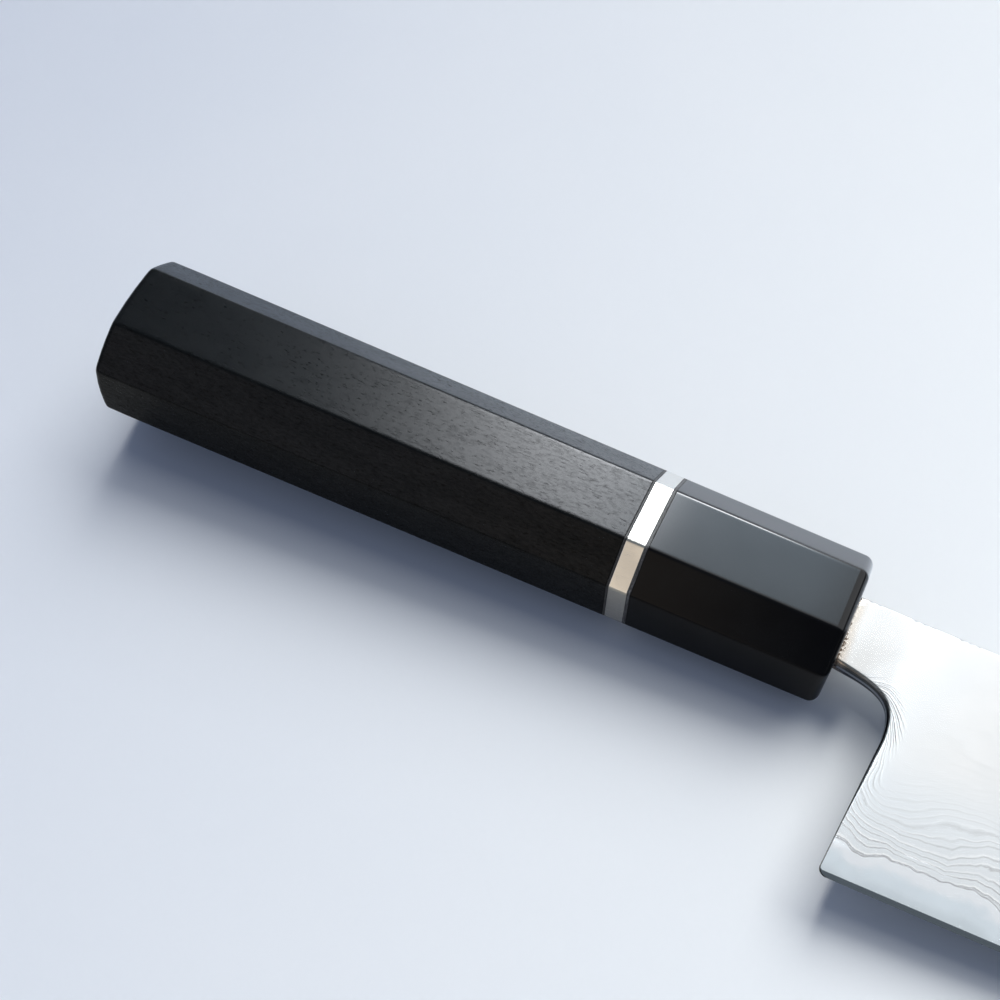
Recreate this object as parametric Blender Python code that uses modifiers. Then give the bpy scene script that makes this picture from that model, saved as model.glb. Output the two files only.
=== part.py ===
"""Santoku knife with a laminated blade and an octagonal Japanese handle, for Blender 4.5.

Everything is first made in the knife's own axes: the origin is the centre of the ferrule's front face,
+X runs to the tip, +Y to the spine and +Z out of the right face of the blade. At the end an empty lays
the knife on its left side, where it rests on the ferrule's front edge and on the tip of the blade.
"""
import math

import bmesh
import bpy
import numpy as np
from mathutils import Matrix, Vector
from mathutils.geometry import interpolate_bezier

MM = 0.001

# Handle
HANDLE_LENGTH = 136.5 * MM
BUTT_WIDTH = 26.6 * MM
BUTT_THICKNESS = 24.5 * MM
FRONT_WIDTH = 23.2 * MM
FRONT_THICKNESS = 20.8 * MM
CHAMFER_PERCENT = 25.5
RIDGE_EASE = 0.25 * MM
BUTT_CROWN_SIDES = 2.6 * MM
BUTT_CROWN_FLATS = 3.7 * MM
BUTT_ROUNDING = 0.6 * MM
FERRULE_ROUNDING = 1.7 * MM

# Stack of pieces along the handle, from the front face back
FERRULE_LENGTH = 32.9 * MM
FRONT_LINER = 0.5 * MM
SPACER_LENGTH = 3.1 * MM
REAR_LINER = 0.4 * MM
GLUE_LINE = 0.04 * MM

# Bore and dowel
DOWEL_DIAMETER = 12.4 * MM
DOWEL_LENGTH = 92.0 * MM
DOWEL_START = 14.0 * MM
DOWEL_FIT = 0.12 * MM
BORE_SIDES = 40

# Blade outline
BLADE_LENGTH = 170.0 * MM
SPINE_OFFSET = 6.3 * MM
NECK_HEIGHT = 12.6 * MM
NECK_DROP = 1.25 * MM
CHOIL_X = 10.95 * MM
CHOIL_DEPTH = 15.4 * MM
CHOIL_FULLNESS = 0.78
HEEL_X = 9.15 * MM
HEEL_HEIGHT = 45.3 * MM
HEEL_ROUNDING = 1.4 * MM
EDGE_SLOPE = 0.031
BELLY_RISE = 4.6 * MM
BELLY_LENGTH = 95.0 * MM
BELLY_POWER = 2.3
SPINE_CURVE_LENGTH = 66.0 * MM
SPINE_CURVE_ANGLE = 66.0
TIP_NOSE = 0.9 * MM

# Blade thickness
NECK_THICKNESS = 3.5 * MM
HEEL_THICKNESS = 2.9 * MM
TIP_THICKNESS = 1.1 * MM
SHOULDER_THICKNESS = 0.46 * MM
EDGE_LAND = 0.04 * MM
BEVEL_HEIGHT = 0.8 * MM
GRIND_FULLNESS = 1.7
GRIND_RUNOUT = 14.0 * MM
BORDER_ROUNDING = 1.1 * MM
CLADDING_EDGE = 0.12 * MM

# Layers of the blade
CORE_THICKNESS = 0.62 * MM
WELD_LINE = 0.02 * MM
CORE_BAND = 6.2 * MM
BAND_WAVE = 0.42 * MM
BAND_WAVE_LENGTH = 27.0 * MM

# Forge marks: where hammering pushed the weld line up or down, as (place, rise, half width) in mm
FORGE_MARKS = [(9.2, -0.5, 1.6), (13.7, -1.4, 2.1), (30.4, 0.75, 3.2), (35.3, -1.0, 1.5),
               (42.5, 0.5, 3.0), (52.0, -0.6, 2.2), (63.0, 0.5, 3.5), (74.0, -0.7, 2.2),
               (88.0, 0.4, 3.0), (97.0, -0.6, 2.2), (112.0, 0.5, 3.4), (126.0, -0.5, 2.2),
               (141.0, 0.4, 3.0), (155.0, -0.4, 2.2)]

# Tang
NECK_SEAT = 9.0 * MM
TANG_SHOULDER = 1.2 * MM
TANG_LENGTH = 97.0 * MM
TANG_HEIGHT = 9.0 * MM
TANG_END_HEIGHT = 6.0 * MM
TANG_END_THICKNESS = 2.4 * MM
TANG_FIT = 0.25 * MM

# Mouth of the ferrule
MOUTH_GAP = 0.55 * MM
SEAL_DEPTH = 2.5 * MM
SEAL_PROUD = 0.25 * MM
SEAL_FIT = 0.04 * MM

# Colours and finish of each material: base colour, roughness, metallic
FINISHES = {
    "ebony": ((0.022, 0.021, 0.022), 0.38, 0.0),
    "dark_liner": ((0.03, 0.03, 0.032), 0.5, 0.0),
    "grey_liner": ((0.12, 0.12, 0.125), 0.55, 0.0),
    "nickel_silver": ((0.78, 0.75, 0.70), 0.22, 1.0),
    "black_horn": ((0.018, 0.020, 0.023), 0.18, 0.0),
    "resin": ((0.12, 0.075, 0.05), 0.45, 0.0),
    "dowel_wood": ((0.55, 0.40, 0.24), 0.6, 0.0),
    "core_steel": ((0.70, 0.72, 0.75), 0.2, 1.0),
    "patterned_steel": ((0.80, 0.80, 0.80), 0.28, 1.0),
}

for leftover in list(bpy.data.objects):
    bpy.data.objects.remove(leftover, do_unlink=True)


def new_collection(name):
    collection = bpy.data.collections.new(name)
    bpy.context.scene.collection.children.link(collection)
    return collection


KNIFE = new_collection("santoku_knife")
CUTTERS = new_collection("cutters")


def finish_material(name):
    """The material of one finish, made once."""
    if name in bpy.data.materials:
        return bpy.data.materials[name]
    colour, roughness, metallic = FINISHES[name]
    material = bpy.data.materials.new(name)
    material.use_nodes = True
    shader = material.node_tree.nodes["Principled BSDF"]
    shader.inputs["Base Color"].default_value = (*colour, 1.0)
    shader.inputs["Roughness"].default_value = roughness
    shader.inputs["Metallic"].default_value = metallic
    return material


def add_object(name, mesh_source, finish=None, collection=None):
    """Turn a bmesh into a named object, shaded smooth except at its real edges."""
    mesh = bpy.data.meshes.new(name)
    bmesh.ops.recalc_face_normals(mesh_source, faces=mesh_source.faces)
    mesh_source.to_mesh(mesh)
    mesh_source.free()
    mesh.shade_smooth()
    mesh.set_sharp_from_angle(angle=math.radians(28))
    body = bpy.data.objects.new(name, mesh)
    (collection or KNIFE).objects.link(body)
    if finish:
        mesh.materials.append(finish_material(finish))
    else:
        body.hide_render = True
        body.display_type = "WIRE"
    return body


def cut(body, cutter, operation="DIFFERENCE"):
    """Boolean one object with a cutter that stays in the cutters' collection."""
    modifier = body.modifiers.new(cutter.name, "BOOLEAN")
    modifier.operation = operation
    modifier.object = cutter
    return modifier


def edges_along(mesh_source, test):
    """The edges whose two ends both pass a test on their position."""
    return [edge for edge in mesh_source.edges if all(test(vert.co) for vert in edge.verts)]


# Handle pieces

def crown_fall(y, z):
    """How far the crowned butt falls away from its middle at a point of the handle's section."""
    return BUTT_CROWN_SIDES * (2 * y / BUTT_WIDTH) ** 2 + BUTT_CROWN_FLATS * (2 * z / BUTT_THICKNESS) ** 2


def crown_butt(blank):
    """Draw the flat end at the butt inwards in rings and lay them on the crown."""
    rim = edges_along(blank, lambda co: co.x < -HANDLE_LENGTH + MM)
    bmesh.ops.subdivide_edges(blank, edges=rim, cuts=3)
    end = min(blank.faces, key=lambda face: face.calc_center_median().x)
    rings = [list(end.verts)]
    for share in (0.86, 0.7, 0.5):
        drawn = bmesh.ops.extrude_face_region(blank, geom=[end])["geom"]
        bmesh.ops.delete(blank, geom=[end], context="FACES_ONLY")
        end = next(item for item in drawn if isinstance(item, bmesh.types.BMFace))
        for vert in end.verts:
            vert.co.y *= share
            vert.co.z *= share
        rings.append(list(end.verts))
    middle = bmesh.ops.poke(blank, faces=[end])["verts"]
    for ring in rings + [middle]:
        for vert in ring:
            vert.co.x = -HANDLE_LENGTH + crown_fall(vert.co.y, vert.co.z)


def handle_blank():
    """The whole handle as the maker shapes it: glued up first, then planed to a tapered octagon."""
    blank = bmesh.new()
    size = Matrix.Diagonal((HANDLE_LENGTH, BUTT_WIDTH, BUTT_THICKNESS, 1))
    bmesh.ops.create_cube(blank, size=1.0, matrix=Matrix.Translation((-HANDLE_LENGTH / 2, 0, 0)) @ size)
    long_edges = [edge for edge in blank.edges if abs(edge.verts[0].co.x - edge.verts[1].co.x) > MM]
    bmesh.ops.bevel(blank, geom=long_edges, offset=CHAMFER_PERCENT, offset_type="PERCENT",
                    segments=1, profile=0.5, affect="EDGES", clamp_overlap=True)
    crown_butt(blank)

    for vert in blank.verts:
        forward = 1 + vert.co.x / HANDLE_LENGTH
        vert.co.y *= 1 + (FRONT_WIDTH / BUTT_WIDTH - 1) * forward
        vert.co.z *= 1 + (FRONT_THICKNESS / BUTT_THICKNESS - 1) * forward

    facets = [face for face in blank.faces if abs(face.normal.x) < 0.1]
    rim = [edge for edge in blank.edges if edge.verts[0].co.x < -HANDLE_LENGTH / 2 > edge.verts[1].co.x
           and len(set(edge.link_faces) & set(facets)) == 1]
    bmesh.ops.bevel(blank, geom=rim, offset=BUTT_ROUNDING, offset_type="OFFSET",
                    segments=3, profile=0.5, affect="EDGES", clamp_overlap=True)
    front_loop = edges_along(blank, lambda co: co.x > -MM)
    bmesh.ops.bevel(blank, geom=front_loop, offset=FERRULE_ROUNDING, offset_type="OFFSET",
                    segments=4, profile=0.5, affect="EDGES", clamp_overlap=True)

    ridges = [edge for edge in blank.edges if edge.calc_face_angle(0.0) > math.radians(30)
              and edge.calc_length() > 20 * MM]
    bmesh.ops.bevel(blank, geom=ridges, offset=RIDGE_EASE, offset_type="OFFSET",
                    segments=2, profile=0.5, affect="EDGES", clamp_overlap=True)
    return blank


def handle_slice(name, front, back, finish):
    """The stretch of the blank between two joints, given as distances behind the front face."""
    piece = handle_blank()
    for distance, keeps_front in ((front, False), (back, True)):
        if not 0 < distance < HANDLE_LENGTH:
            continue
        everything = list(piece.verts) + list(piece.edges) + list(piece.faces)
        result = bmesh.ops.bisect_plane(piece, geom=everything, plane_co=(-distance, 0, 0),
                                        plane_no=(1, 0, 0), clear_outer=not keeps_front,
                                        clear_inner=keeps_front)
        rim = [item for item in result["geom_cut"] if isinstance(item, bmesh.types.BMEdge)]
        bmesh.ops.edgeloop_fill(piece, edges=rim)
    return add_object(name, piece, finish)


def bore(name, diameter, front, back):
    """A round cutter along the handle between two distances behind the front face."""
    drill = bmesh.new()
    turned = Matrix.Rotation(math.radians(90), 4, "Y")
    placed = Matrix.Translation((-(front + back) / 2, 0, 0)) @ turned
    bmesh.ops.create_cone(drill, cap_ends=True, segments=BORE_SIDES, radius1=diameter / 2,
                          radius2=diameter / 2, depth=back - front, matrix=placed)
    return add_object(name, drill, collection=CUTTERS)


def make_handle():
    bore_diameter = DOWEL_DIAMETER + 2 * DOWEL_FIT
    bore_end = DOWEL_START + DOWEL_LENGTH + DOWEL_FIT
    drill = bore("dowel_bore", bore_diameter, DOWEL_START - DOWEL_FIT, bore_end)

    front = 0.0
    stack = [
        ("horn_ferrule", FERRULE_LENGTH, "black_horn"),
        ("front_liner", FRONT_LINER, "grey_liner"),
        ("spacer_ring", SPACER_LENGTH, "nickel_silver"),
        ("rear_liner", REAR_LINER, "dark_liner"),
    ]
    for name, length, finish in stack:
        piece = handle_slice(name, front, front + length, finish)
        cut(piece, drill)
        front += length + GLUE_LINE
    body = handle_slice("handle_body", front, HANDLE_LENGTH, "ebony")
    cut(body, drill)


# Blade outline, in the knife's own axes

TIP_X = HEEL_X + BLADE_LENGTH
NECK_BOTTOM = SPINE_OFFSET - NECK_HEIGHT
HEEL_EDGE = SPINE_OFFSET - HEEL_HEIGHT
LOW_ZONE = 8.0 * MM
TOP_ZONE = 1.2 * MM


def edge_line(x):
    """Height of the cutting edge: nearly straight from the heel, with a belly towards the tip."""
    belly = max(0.0, (x - TIP_X + BELLY_LENGTH) / BELLY_LENGTH) ** BELLY_POWER
    return HEEL_EDGE + EDGE_SLOPE * max(0.0, x - HEEL_X) + BELLY_RISE * belly


def spine_line(x):
    """Height of the spine: straight, then one falling arc to the tip."""
    along = min(max(0.0, (x - TIP_X + SPINE_CURVE_LENGTH) / SPINE_CURVE_LENGTH), 1.0)
    steepest = math.radians(SPINE_CURVE_ANGLE)
    turned = math.asin(along * math.sin(steepest))
    fall = SPINE_OFFSET - edge_line(TIP_X) - TIP_NOSE
    return SPINE_OFFSET - fall * (1 - math.cos(turned)) / (1 - math.cos(steepest))


def weld_line(x):
    """Height at which the cladding ends and the plain core comes out, slightly wavy from the forge."""
    turn = math.tau * (x - HEEL_X) / BAND_WAVE_LENGTH
    wave = 0.6 * math.sin(turn + 0.7) + 0.4 * math.sin(1.62 * turn + 2.1)
    marks = sum(rise * math.exp(-((x / MM - place) / width) ** 2) for place, rise, width in FORGE_MARKS)
    return edge_line(x) + CORE_BAND + BAND_WAVE * wave + marks * MM


def tang_outline(x):
    """Top and bottom of the neck and tang behind the mouth of the ferrule."""
    if x >= -NECK_SEAT:
        return SPINE_OFFSET, NECK_BOTTOM
    along = (-x - NECK_SEAT) / (TANG_LENGTH - NECK_SEAT)
    half = (TANG_HEIGHT + (TANG_END_HEIGHT - TANG_HEIGHT) * along) / 2
    return half, -half


def rear_outline():
    """The back of the blade: under the neck, round the choil, down to the heel and round its corner."""
    start = Vector((0.0, NECK_BOTTOM, 0.0))
    end = Vector((CHOIL_X, -CHOIL_DEPTH, 0.0))
    first_handle = start + Vector((CHOIL_FULLNESS * CHOIL_X, -NECK_DROP, 0.0))
    last_handle = end + Vector((0.0, CHOIL_FULLNESS * (start.y - end.y), 0.0))
    choil = interpolate_bezier(start, first_handle, last_handle, end, 10)
    corner = Vector((HEEL_X, HEEL_EDGE + HEEL_ROUNDING, 0.0))
    heel_line = [end.lerp(corner, share) for share in (0.25, 0.5, 0.72, 0.88)]
    turn = [corner + HEEL_ROUNDING * Vector((1 - math.cos(angle), -math.sin(angle), 0.0))
            for angle in np.radians((0, 50, 90))]
    return list(choil) + heel_line + turn


REAR = rear_outline()


def low_scale(x):
    """How far the rows near the edge are squeezed where the blade runs out at the tip."""
    return min(1.0, 0.6 * (spine_line(x) - edge_line(x)) / LOW_ZONE)


def row_stations(x):
    """Heights above the edge at which the rows of the blade's surface change their spacing."""
    height = spine_line(x) - edge_line(x)
    squeeze = low_scale(x)
    return (0.0, LOW_ZONE * squeeze, height - TOP_ZONE * squeeze, height)


# Blade thickness

def spine_half(x):
    """Half thickness at the spine: thick in the neck, thinner at the heel, thinnest at the tip."""
    stations = (-TANG_LENGTH, -NECK_SEAT, 0.0, HEEL_X, TIP_X)
    values = (TANG_END_THICKNESS, NECK_THICKNESS, NECK_THICKNESS, HEEL_THICKNESS, TIP_THICKNESS)
    return float(np.interp(x, stations, values)) / 2


def ground_half(x, y):
    """Half thickness of the ground blade, before its borders are rounded."""
    above = max(0.0, y - edge_line(x))
    bevel = BEVEL_HEIGHT * low_scale(x)
    shoulder = SHOULDER_THICKNESS / 2
    if above < bevel:
        return EDGE_LAND / 2 + (shoulder - EDGE_LAND / 2) * above / bevel
    share = min(1.0, (above - bevel) / (spine_line(x) - edge_line(x) - bevel))
    grown = share * (GRIND_FULLNESS - (GRIND_FULLNESS - 1) * share)
    ground = shoulder + (spine_half(x) - shoulder) * grown
    runout = min(1.0, max(0.0, x / GRIND_RUNOUT) * (1 - min(0.0, y) / NECK_HEIGHT * 3))
    runout = runout * runout * (3 - 2 * runout)
    return spine_half(x) + (ground - spine_half(x)) * runout


def border_distance(x, y):
    """Distance from a point to the nearest rounded border: spine, neck, tang, choil or heel."""
    if x <= 0:
        top, bottom = tang_outline(x)
        return max(0.0, min(top - y, y - bottom))
    ends = np.array([(p.x, p.y) for p in REAR])
    starts, steps = ends[:-1], np.diff(ends, axis=0)
    share = np.clip((((x, y) - starts) * steps).sum(1) / (steps ** 2).sum(1), 0, 1)
    rear_gap = np.hypot(*(starts + share[:, None] * steps - (x, y)).T).min()
    slope = (spine_line(x) - spine_line(x - MM)) / MM
    spine_gap = (spine_line(x) - y) / math.hypot(1, slope)
    return max(0.0, min(spine_gap, rear_gap))


def surface_half(x, y):
    """Half thickness with the borders rounded over, as far as the cladding is thick enough."""
    half = ground_half(x, y)
    radius = min(BORDER_ROUNDING, max(0.0, half - CORE_THICKNESS / 2 - CLADDING_EDGE))
    gap = border_distance(x, y)
    if gap >= radius:
        return half
    return half - radius + math.sqrt(radius ** 2 - (radius - gap) ** 2)


# Blade pieces

def ground_blade(name, collection):
    """The whole blade and tang as one ground billet: a shaped grid for the right face, mirrored."""
    rim = [0.0, 0.12 * MM, 0.36 * MM, 0.7 * MM, TOP_ZONE]
    neck_rows = [SPINE_OFFSET - depth for depth in rim]
    neck_rows += [SPINE_OFFSET - NECK_HEIGHT * share for share in (0.37, 0.63)]
    neck_rows += [NECK_BOTTOM + depth for depth in reversed(rim)]
    starts = [(0.0, y) for y in neck_rows] + [(p.x, p.y) for p in REAR[1:]]

    tang_columns = [-TANG_LENGTH, -NECK_SEAT - TANG_SHOULDER, -NECK_SEAT]
    near = [0.0, 0.12, 0.36, 0.7, 1.2, 2.2, 3.6, 5.4, 7.6, 10.2, 13.2, 16.6, 20.4, 24.6, 29.2]
    near = [distance * MM for distance in near]
    curve_start = TIP_X - SPINE_CURVE_LENGTH
    middle = np.linspace(near[-1], curve_start, 12)[1:]
    steepest = math.radians(SPINE_CURVE_ANGLE)
    curved = [curve_start + SPINE_CURVE_LENGTH * math.sin(steepest * step / 12) / math.sin(steepest)
              for step in range(1, 13)]
    columns = near + list(middle) + curved
    fade = near[-1]

    column_count = len(tang_columns) + len(columns) - 1
    row_count = len(starts) - 1
    grid = bmesh.new()
    bmesh.ops.create_grid(grid, x_segments=column_count, y_segments=row_count, size=0.5)
    place = {vert: (round((vert.co.x + 0.5) * column_count) - len(tang_columns),
                    round((0.5 - vert.co.y) * row_count)) for vert in grid.verts}
    below_tang = [face for face in grid.faces if min(place[vert][0] for vert in face.verts) < 0
                  and max(place[vert][1] for vert in face.verts) >= len(neck_rows)]

    heel_stations = row_stations(HEEL_X)
    for vert, (column, row) in place.items():
        start_x, start_y = starts[row]
        if column < 0:
            x = tang_columns[column]
            top, bottom = tang_outline(x)
            y = top - (top - bottom) * (SPINE_OFFSET - start_y) / NECK_HEIGHT
        else:
            reach = columns[column]
            x = reach + start_x * max(0.0, 1 - reach / fade) ** 2
            height = np.interp(start_y - edge_line(start_x), row_stations(start_x), heel_stations)
            y = edge_line(x) + np.interp(height, heel_stations, row_stations(x))
        vert.co = (x, y, surface_half(x, y))
    bmesh.ops.delete(grid, geom=below_tang, context="FACES")

    rim_edges = [edge for edge in grid.edges if edge.is_boundary]
    walls = bmesh.ops.extrude_edge_only(grid, edges=rim_edges)["geom"]
    for vert in walls:
        if isinstance(vert, bmesh.types.BMVert):
            vert.co.z = 0.0
    billet = add_object(name, grid, collection=collection)
    mirror = billet.modifiers.new("left_face", "MIRROR")
    mirror.use_axis = (False, False, True)
    mirror.merge_threshold = 0.001 * MM
    return billet


def evaluated_copy(name, source):
    """A plain mesh object of another object as its modifiers leave it."""
    graph = bpy.context.evaluated_depsgraph_get()
    mesh = bpy.data.meshes.new_from_object(source.evaluated_get(graph), depsgraph=graph)
    mesh.name = name
    welded = bmesh.new()
    welded.from_mesh(mesh)
    bmesh.ops.remove_doubles(welded, verts=welded.verts, dist=0.0005 * MM)
    bmesh.ops.recalc_face_normals(welded, faces=welded.faces)
    welded.to_mesh(mesh)
    welded.free()
    body = bpy.data.objects.new(name, mesh)
    body.matrix_world = source.matrix_world
    return body


def plate(name, outline, low, high):
    """A flat cutter of an outline, between two heights."""
    curve = bpy.data.curves.new(name, "CURVE")
    curve.dimensions = "2D"
    curve.fill_mode = "BOTH"
    curve.extrude = (high - low) / 2
    spline = curve.splines.new("POLY")
    spline.points.add(len(outline) - 1)
    for point, (x, y) in zip(spline.points, outline):
        point.co = (x, y, 0.0, 1.0)
    spline.use_cyclic_u = True
    drawn = bpy.data.objects.new(name + "_outline", curve)
    CUTTERS.objects.link(drawn)
    drawn.location.z = (low + high) / 2
    bpy.context.view_layer.update()
    body = evaluated_copy(name, drawn)
    CUTTERS.objects.link(body)
    body.hide_render = True
    body.display_type = "WIRE"
    bpy.data.objects.remove(drawn)
    return body


def weld_cutter(name, side, clearance):
    """Everything of one face that lies outside the core's weld plane and above the weld line."""
    margin = 5.0 * MM
    step = 1.1 * MM
    count = math.ceil((TIP_X + margin) / step)
    lower = [(index * step, weld_line(index * step) + clearance) for index in range(count + 1)]
    far = lower[-1][0]
    outline = [(-TANG_LENGTH - margin, lower[0][1])] + lower
    outline += [(far, SPINE_OFFSET + margin), (-TANG_LENGTH - margin, SPINE_OFFSET + margin)]
    inner = CORE_THICKNESS / 2 + clearance
    low, high = sorted((side * inner, side * margin))
    return plate(name, outline, low, high)


def make_blade():
    """Split the ground billet at its weld planes into the core and the two claddings."""
    billet = ground_blade("blade_billet", CUTTERS)
    bpy.context.view_layer.update()
    core = evaluated_copy("blade_core", billet)
    KNIFE.objects.link(core)
    core.data.materials.append(finish_material("core_steel"))
    for name, side in (("right_cladding", 1), ("left_cladding", -1)):
        cladding = evaluated_copy(name, billet)
        KNIFE.objects.link(cladding)
        cladding.data.materials.append(finish_material("patterned_steel"))
        cut(cladding, weld_cutter(name + "_keep", side, WELD_LINE), "INTERSECT")
        cut(core, weld_cutter(name + "_recess", side, 0.0))


# Joint between blade and handle

def rounded_bar(name, top, bottom, half_thickness, radius, back, front, finish=None):
    """A bar along the handle with rounded long edges, between two places on X."""
    bar = bmesh.new()
    size = Matrix.Diagonal((front - back, top - bottom, 2 * half_thickness, 1))
    place = Matrix.Translation(((front + back) / 2, (top + bottom) / 2, 0))
    bmesh.ops.create_cube(bar, size=1.0, matrix=place @ size)
    half_length = (front - back) / 2
    long_edges = [edge for edge in bar.edges if abs(edge.verts[0].co.x - edge.verts[1].co.x) > half_length]
    bmesh.ops.bevel(bar, geom=long_edges, offset=radius, offset_type="OFFSET",
                    segments=5, profile=0.5, affect="EDGES", clamp_overlap=True)
    return add_object(name, bar, finish, KNIFE if finish else CUTTERS)


def make_mouth():
    """The slot in the ferrule and the resin seal that fills it round the neck."""
    half = NECK_THICKNESS / 2
    slot = rounded_bar("ferrule_slot", SPINE_OFFSET + MOUTH_GAP, NECK_BOTTOM - MOUTH_GAP, half + MOUTH_GAP,
                       BORDER_ROUNDING + MOUTH_GAP, -DOWEL_START - 1 * MM, 5 * MM)
    cut(bpy.data.objects["horn_ferrule"], slot)
    grow = MOUTH_GAP - SEAL_FIT
    seal = rounded_bar("mouth_seal", SPINE_OFFSET + grow, NECK_BOTTOM - grow, half + grow,
                       BORDER_ROUNDING + grow, -SEAL_DEPTH, SEAL_PROUD, "resin")
    inside = rounded_bar("seal_opening", SPINE_OFFSET + SEAL_FIT, NECK_BOTTOM - SEAL_FIT, half + SEAL_FIT,
                         BORDER_ROUNDING + SEAL_FIT, -SEAL_DEPTH - 1 * MM, SEAL_PROUD + 1 * MM)
    cut(seal, inside)


def make_dowel():
    """The round dowel that joins ferrule and body, with a slot for the tang."""
    back = DOWEL_START + DOWEL_LENGTH
    round_bar = bmesh.new()
    turned = Matrix.Rotation(math.radians(90), 4, "Y")
    bmesh.ops.create_cone(round_bar, cap_ends=True, segments=BORE_SIDES, radius1=DOWEL_DIAMETER / 2,
                          radius2=DOWEL_DIAMETER / 2, depth=DOWEL_LENGTH,
                          matrix=Matrix.Translation((-(DOWEL_START + back) / 2, 0, 0)) @ turned)
    dowel = add_object("dowel", round_bar, "dowel_wood")

    slot = bmesh.new()
    bmesh.ops.create_cube(slot, size=2.0)
    for vert in slot.verts:
        x = -DOWEL_START + 1 * MM if vert.co.x > 0 else -TANG_LENGTH - TANG_FIT
        vert.co.y *= tang_outline(x)[0] + TANG_FIT
        vert.co.z *= spine_half(x) + TANG_FIT
        vert.co.x = x
    cut(dowel, add_object("tang_slot", slot, collection=CUTTERS))


# Resting place

def lay_down(pieces):
    """Lay the knife on its left side: it leans until the ferrule's edge and the tip touch the table."""
    bpy.context.view_layer.update()
    graph = bpy.context.evaluated_depsgraph_get()
    clouds = []
    for piece in pieces:
        mesh = piece.evaluated_get(graph).to_mesh()
        flat = np.empty(len(mesh.vertices) * 3)
        mesh.vertices.foreach_get("co", flat)
        clouds.append(flat.reshape(-1, 3))
    points = np.vstack(clouds)
    ahead = points[:, 0] > HEEL_X

    def leaned(angle):
        turned = points.copy()
        turned[:, 0] = points[:, 0] * math.cos(angle) + points[:, 2] * math.sin(angle)
        turned[:, 2] = points[:, 2] * math.cos(angle) - points[:, 0] * math.sin(angle)
        return turned

    low, high = 0.0, math.radians(20)
    for _ in range(50):
        middle = (low + high) / 2
        heights = leaned(middle)[:, 2]
        if heights[ahead].min() > heights[~ahead].min():
            low = middle
        else:
            high = middle
    resting = leaned(low)
    lowest, highest = resting.min(0), resting.max(0)
    stand = bpy.data.objects.new("knife_rest_pose", None)
    KNIFE.objects.link(stand)
    stand.rotation_euler = (0.0, low, 0.0)
    stand.location = (-(lowest[0] + highest[0]) / 2, -(lowest[1] + highest[1]) / 2, -lowest[2])
    for piece in list(KNIFE.objects) + list(CUTTERS.objects):
        if piece.type == "MESH":
            piece.parent = stand
    print("lean", round(math.degrees(low), 4), "degrees")
    print("the knife's own origin lies at", [round(value, 6) for value in stand.location])


make_handle()
make_blade()
make_mouth()
make_dowel()
lay_down([body for body in KNIFE.objects if body.type == "MESH"])
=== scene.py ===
"""The finished look of a santoku knife: layered steel, black horn, ebony and nickel silver.

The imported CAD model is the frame. The blade and the handle are drawn again here with more faces,
in the knife's own axes: the origin is the centre of the ferrule's front face, +X runs to the tip,
+Y to the spine and +Z out of the right face. KNIFE_REST lays them where the CAD has them.
"""
import math

import bmesh
import bpy
import numpy as np
from mathutils import Matrix, Vector, kdtree, noise
from mathutils.geometry import delaunay_2d_cdt, interpolate_bezier


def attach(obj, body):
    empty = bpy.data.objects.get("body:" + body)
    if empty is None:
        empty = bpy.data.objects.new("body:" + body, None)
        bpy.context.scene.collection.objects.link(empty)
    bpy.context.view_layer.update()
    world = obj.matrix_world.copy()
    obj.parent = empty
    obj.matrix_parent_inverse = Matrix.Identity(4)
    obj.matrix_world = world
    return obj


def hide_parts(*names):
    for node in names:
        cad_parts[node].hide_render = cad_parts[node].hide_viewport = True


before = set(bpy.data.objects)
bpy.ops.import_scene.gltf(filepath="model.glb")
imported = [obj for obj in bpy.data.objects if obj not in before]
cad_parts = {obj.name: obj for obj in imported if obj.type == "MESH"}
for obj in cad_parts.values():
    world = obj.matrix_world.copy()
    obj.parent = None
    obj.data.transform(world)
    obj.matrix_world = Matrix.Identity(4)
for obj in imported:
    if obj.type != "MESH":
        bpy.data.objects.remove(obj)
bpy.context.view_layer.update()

MM = 0.001
KNIFE_REST = Matrix.Translation((-0.0213074, 0.0128445, 0.0103146)) @ Matrix.Rotation(
    math.radians(3.13313), 4, "Y")

# Handle, in the CAD's lengths
HANDLE_LENGTH = 136.5 * MM
BUTT_WIDTH = 26.6 * MM
BUTT_THICKNESS = 24.5 * MM
FRONT_WIDTH = 23.2 * MM
FRONT_THICKNESS = 20.8 * MM
FLAT_SHARE = 0.49
FERRULE_ROUNDING = 1.7 * MM
FERRULE_LENGTH = 32.9 * MM
FRONT_LINER = 0.5 * MM
SPACER_LENGTH = 3.1 * MM
REAR_LINER = 0.4 * MM
GLUE_LINE = 0.04 * MM
BORE_RADIUS = 6.32 * MM
BORE_START = 13.88 * MM
BORE_END = 106.12 * MM

# Sanding and wear, fitted to the look: the CAD's butt is rounder and even, its ridges sharper
BUTT_SETBACK = 0.47 * MM
BUTT_CROWN_SIDES = 1.27 * MM
BUTT_CROWN_FLATS = 2.03 * MM
BUTT_SKEW_SIDES = -0.62 * MM
BUTT_SKEW_FLATS = 1.14 * MM
BUTT_ROUNDING = 0.95 * MM
RIDGE_EASE = 0.8 * MM
WORN_EASE = 0.9 * MM
WORN_START = 1.5 * MM
WORN_LENGTH = 8.0 * MM
HANDLE_EDGE = 0.05 * MM
BAND_EDGE = 0.03 * MM
SUPPORT = 0.05 * MM
RIDGE_STEPS = 8
FACET_STEPS = 3

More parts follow.
